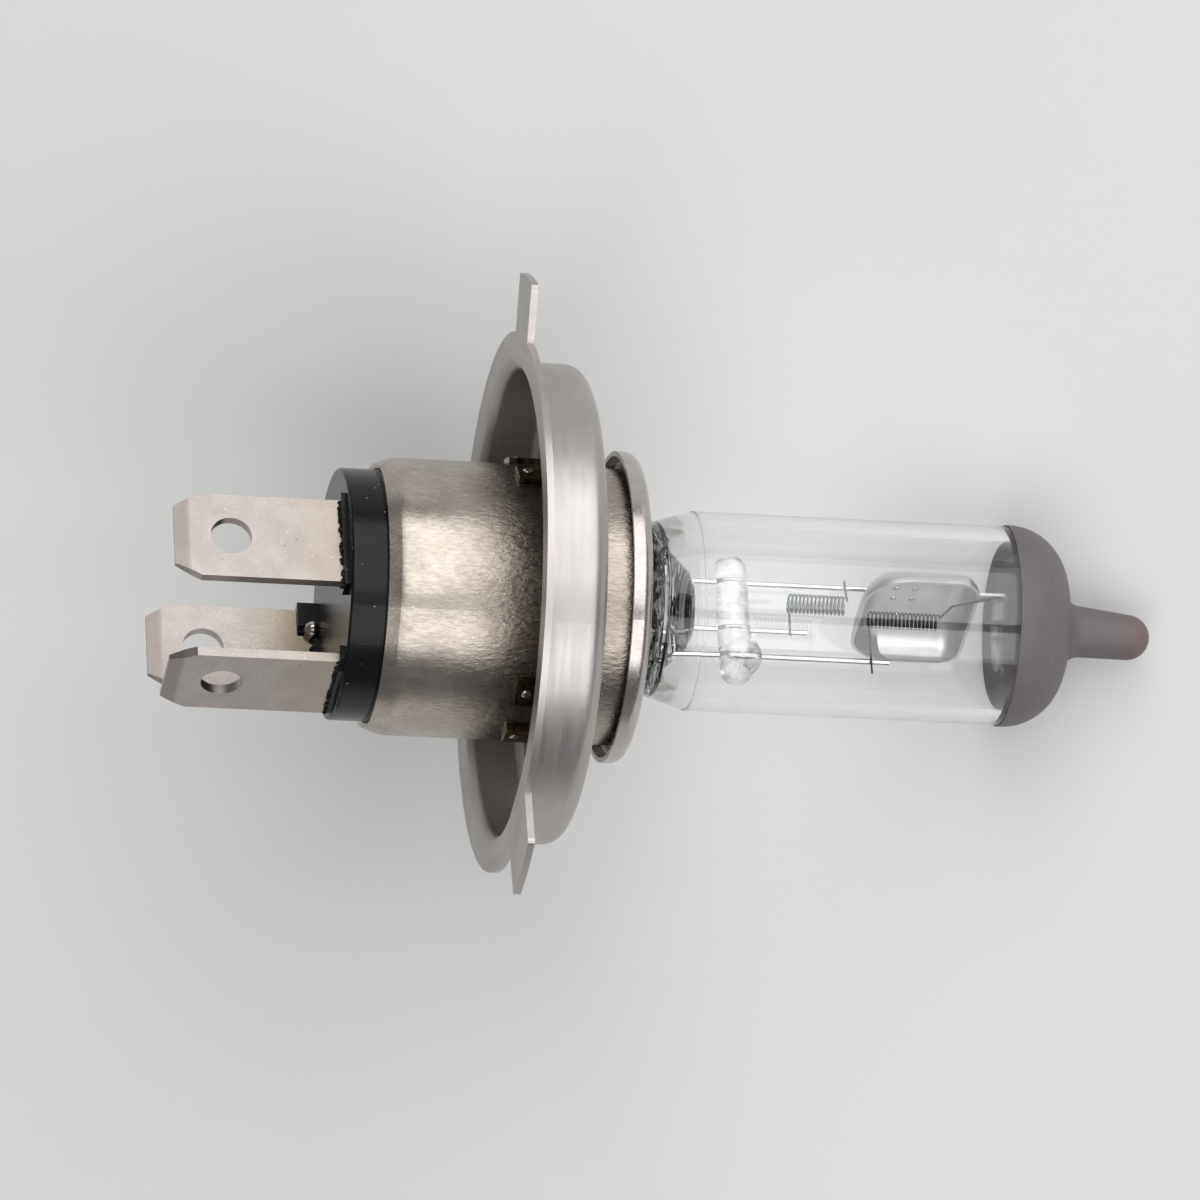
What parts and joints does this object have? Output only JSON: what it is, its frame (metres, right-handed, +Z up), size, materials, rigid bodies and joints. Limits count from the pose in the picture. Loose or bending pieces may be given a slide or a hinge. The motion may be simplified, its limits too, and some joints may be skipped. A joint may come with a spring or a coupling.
{
  "type": "halogen headlight bulb",
  "caption": "Halogen headlight bulb with low and high beam filaments in a glass tube with a coated tip, a metal flange with lugs, and flat blade terminals.",
  "frame": {"origin": "on the floor, under the middle of the bulb's overall box as it lies", "axes": "+Z up, +X along the lying bulb towards its glass tip, +Y sideways; the bulb's own axis dips about 23 degrees towards the tip, because the bulb lies on one lug and on the edge of its coated dome"},
  "size_m": [0.0766, 0.048, 0.0439],
  "materials": {
    "flange_steel": "satin",
    "sleeve_steel": "satin",
    "disc_steel": "satin",
    "clip_steel": "satin",
    "insulator": "matte",
    "terminal_plating": "satin",
    "lead_wire": "satin",
    "solder": "satin",
    "glass": "polished",
    "coating": "matte",
    "foil": "satin",
    "support_wire": "polished",
    "filament": "satin",
    "shield": "polished"
  },
  "bodies": {
    "root": {"flange": "flange_steel", "base_sleeve": "sleeve_steel", "front_disc": "disc_steel", "pinch_clip": "clip_steel", "insulator": "insulator", "terminal_earth": "terminal_plating", "terminal_high_beam": "terminal_plating", "terminal_low_beam": "terminal_plating", "outer_lead_earth": "lead_wire", "outer_lead_high_beam": "lead_wire", "outer_lead_low_beam": "lead_wire", "solder_earth": "solder", "solder_high_beam": "solder", "solder_low_beam": "solder", "glass_envelope": "glass", "tip_coating": "coating", "foil_earth": "foil", "foil_high_beam": "foil", "foil_low_beam": "foil", "support_wire_common": "support_wire", "support_wire_high_beam": "support_wire", "support_wire_low_beam": "support_wire", "filament_high_beam": "filament", "filament_low_beam": "filament", "beam_shield": "shield", "glass_bridge": "glass"}
  },
  "joints": []
}
